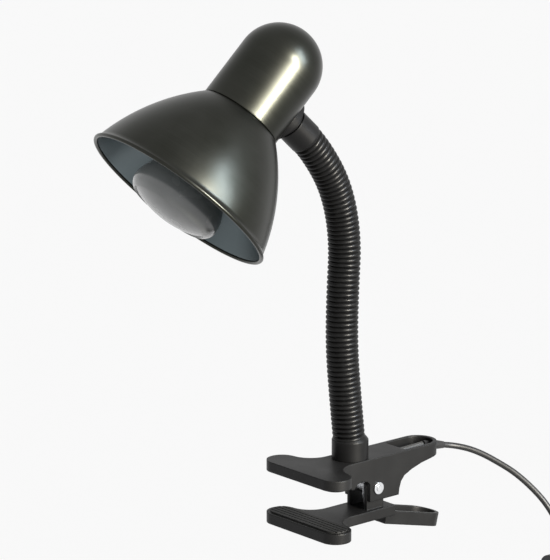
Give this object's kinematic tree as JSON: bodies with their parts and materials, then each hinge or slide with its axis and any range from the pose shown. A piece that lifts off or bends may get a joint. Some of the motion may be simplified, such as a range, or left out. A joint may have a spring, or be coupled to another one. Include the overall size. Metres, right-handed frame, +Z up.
{
  "type": "clip on reading lamp",
  "caption": "Reading lamp with a sprung clamp for a rail or shelf edge, a flexible arm that keeps its pose, a swivelling bell shade and a screw-in reflector bulb.",
  "frame": {"origin": "middle of the upper jaw pad's gripping face", "axes": "+Z up, away from the gripped rail; +X along the rail; +Y back, towards the handles and the cord"},
  "size_m": [0.1954, 0.3343, 0.5758],
  "materials": {
    "clamp_plastic": "matte moulded black",
    "pad_rubber": "matte",
    "bright_steel": "bright zinc plated",
    "arm_plastic": "satin black",
    "lead_rubber": "matte",
    "shade_steel": "dark satin plated, clear lacquer",
    "holder_plastic": "satin black",
    "ceramic": null,
    "brass": "plain",
    "frosted_glass": "frosted inside",
    "cap_nickel": "nickel plated",
    "base_black": "black glass insulator",
    "cord_rubber": "satin black",
    "tie_plastic": "satin black",
    "switch_plastic": "satin black",
    "rocker_plastic": "gloss black",
    "pin_nickel": "nickel plated"
  },
  "bodies": {
    "clamp": {"upper_lever": "clamp_plastic", "upper_jaw_pad": "pad_rubber", "pivot_pin": "bright_steel", "pin_caps": "bright_steel", "torsion_spring": "bright_steel", "base_collar": "arm_plastic", "base_fitting": "bright_steel", "base_washer": "bright_steel", "base_nut": "bright_steel", "strain_relief": "cord_rubber", "handle_lead": "lead_rubber", "mains_cord": "cord_rubber", "cord_coil": "cord_rubber", "cord_tie": "tie_plastic", "switch_front": "switch_plastic", "switch_back": "switch_plastic", "plug_body": "switch_plastic", "plug_pins": "pin_nickel"},
    "lower_jaw": {"lower_lever": "clamp_plastic", "lower_jaw_pad": "pad_rubber"},
    "rocker": {"switch_rocker": "rocker_plastic"},
    "arm_1": {"arm_sleeve_1": "arm_plastic", "arm_core_1": "bright_steel", "arm_lead_1": "lead_rubber"},
    "arm_2": {"arm_sleeve_2": "arm_plastic", "arm_core_2": "bright_steel", "arm_lead_2": "lead_rubber"},
    "arm_3": {"arm_sleeve_3": "arm_plastic", "arm_core_3": "bright_steel", "arm_lead_3": "lead_rubber"},
    "arm_4": {"arm_sleeve_4": "arm_plastic", "arm_core_4": "bright_steel", "arm_lead_4": "lead_rubber"},
    "arm_5": {"arm_sleeve_5": "arm_plastic", "arm_core_5": "bright_steel", "arm_lead_5": "lead_rubber"},
    "arm_6": {"arm_sleeve_6": "arm_plastic", "arm_core_6": "bright_steel", "arm_lead_6": "lead_rubber"},
    "arm_top": {"top_ferrule": "arm_plastic", "top_fitting": "bright_steel", "head_nut": "bright_steel"},
    "head": {"head_saddle": "arm_plastic", "head_washer": "bright_steel", "neck_cup": "shade_steel", "bell_shade": "shade_steel", "holder_bracket": "bright_steel", "holder_nipple": "bright_steel", "nipple_nut": "bright_steel", "holder_cap": "holder_plastic", "holder_insert": "ceramic", "holder_contact": "brass", "terminal_screws": "brass", "holder_body": "holder_plastic", "holder_shell": "brass", "neck_lead": "lead_rubber"},
    "bulb": {"bulb_glass": "frosted_glass", "bulb_cap": "cap_nickel", "bulb_base": "base_black"}
  },
  "joints": [
    {"name": "arm_bend_1", "type": "hinge", "parent": "clamp", "child": "arm_1", "pos_m": [0, 0.0365, 0.01311], "axis": [1, 0, 0], "range_deg": [-20, 20]},
    {"name": "arm_sway_2", "type": "hinge", "parent": "arm_1", "child": "arm_2", "pos_m": [0, 0.0321, 0.0494], "axis": [0, 0.9938, 0.111], "range_deg": [-20, 20]},
    {"name": "arm_bend_3", "type": "hinge", "parent": "arm_2", "child": "arm_3", "pos_m": [0, 0.0284, 0.0856], "axis": [1, 0, 0], "range_deg": [-20, 20]},
    {"name": "arm_sway_4", "type": "hinge", "parent": "arm_3", "child": "arm_4", "pos_m": [0, 0.0291, 0.122], "axis": [0, 0.9991, -0.0413], "range_deg": [-20, 20]},
    {"name": "arm_bend_5", "type": "hinge", "parent": "arm_4", "child": "arm_5", "pos_m": [0, 0.0314, 0.1582], "axis": [1, 0, 0], "range_deg": [-20, 20]},
    {"name": "arm_sway_6", "type": "hinge", "parent": "arm_5", "child": "arm_6", "pos_m": [0, 0.0233, 0.1933], "axis": [0, 0.9199, 0.3922], "range_deg": [-20, 20]},
    {"name": "arm_bend_7", "type": "hinge", "parent": "arm_6", "child": "arm_top", "pos_m": [-0.00022, 0.00437, 0.2216], "axis": [1, 0, 0], "range_deg": [-20, 20]},
    {"name": "head_swivel", "type": "hinge", "parent": "arm_top", "child": "head", "pos_m": [-0.00603, -0.03695, 0.26189], "axis": [0.1001, 0.7123, -0.6947], "range_deg": [-45, 45]},
    {"name": "bulb_unscrew", "type": "slide", "parent": "head", "child": "bulb", "axis": [-0.0967, -0.6879, -0.7193], "range_m": [0, 0.045]},
    {"name": "jaw_hinge", "type": "hinge", "parent": "clamp", "child": "lower_jaw", "pos_m": [0, 0.0505, -0.013], "axis": [1, 0, 0], "range_deg": [-22, 14], "stiffness_Nm_per_rad": 1.2, "springref_deg": -51.57, "deforming": ["torsion_spring"]},
    {"name": "switch_rock", "type": "hinge", "parent": "clamp", "child": "rocker", "pos_m": [0.06, 0.174, -0.107], "axis": [1, 0, 0], "range_deg": [-16, 0]}
  ]
}
